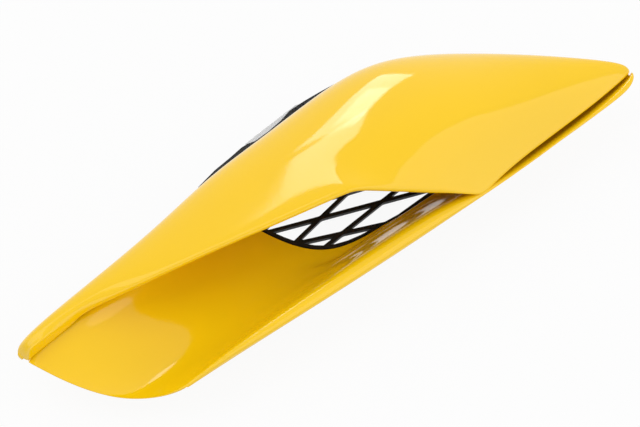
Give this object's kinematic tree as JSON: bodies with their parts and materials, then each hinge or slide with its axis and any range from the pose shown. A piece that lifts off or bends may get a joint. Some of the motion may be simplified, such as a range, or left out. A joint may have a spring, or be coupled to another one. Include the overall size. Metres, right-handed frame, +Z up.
{
  "type": "side air scoop",
  "caption": "Left-hand side air scoop: a lofted hood over an open trough that feeds a diamond grille, on a flange that bolts to a rear quarter panel.",
  "frame": {"origin": "on the axis of the front mounting stud, at the lower face of its plate, where the part seats on the quarter panel", "axes": "+X rearward along the part, +Y inboard towards the car, +Z up off the body panel"},
  "size_m": [0.6773, 0.2175, 0.1125],
  "materials": {
    "yellow_shell": "gloss lacquer over a moulded shell",
    "tan_duct": "gloss lacquer, darker in the duct",
    "black_grille": "satin black moulding",
    "bracket_metal": "satin sheet",
    "black_fixing": "black fixing",
    "foam": "closed-cell foam",
    "zinc_steel": "zinc-plated steel"
  },
  "bodies": {
    "root": {"outer_shell": "yellow_shell", "duct_panel": "tan_duct", "grille": "black_grille", "inboard_bracket": "bracket_metal", "bracket_rivet_1": "black_fixing", "bracket_rivet_2": "black_fixing", "seal_front": "foam", "seal_rear": "foam", "mounting_stud_1": "zinc_steel", "mounting_stud_2": "zinc_steel", "mounting_stud_3": "zinc_steel", "mounting_stud_4": "zinc_steel", "grille_screw_1": "zinc_steel", "grille_screw_2": "zinc_steel", "grille_screw_3": "zinc_steel", "grille_screw_4": "zinc_steel", "grille_nut_1": "zinc_steel", "grille_nut_2": "zinc_steel", "grille_nut_3": "zinc_steel", "grille_nut_4": "zinc_steel", "panel_screw_1": "zinc_steel", "panel_screw_2": "zinc_steel", "panel_screw_3": "zinc_steel", "panel_nut_1": "zinc_steel", "panel_nut_2": "zinc_steel", "panel_nut_3": "zinc_steel"}
  },
  "joints": []
}
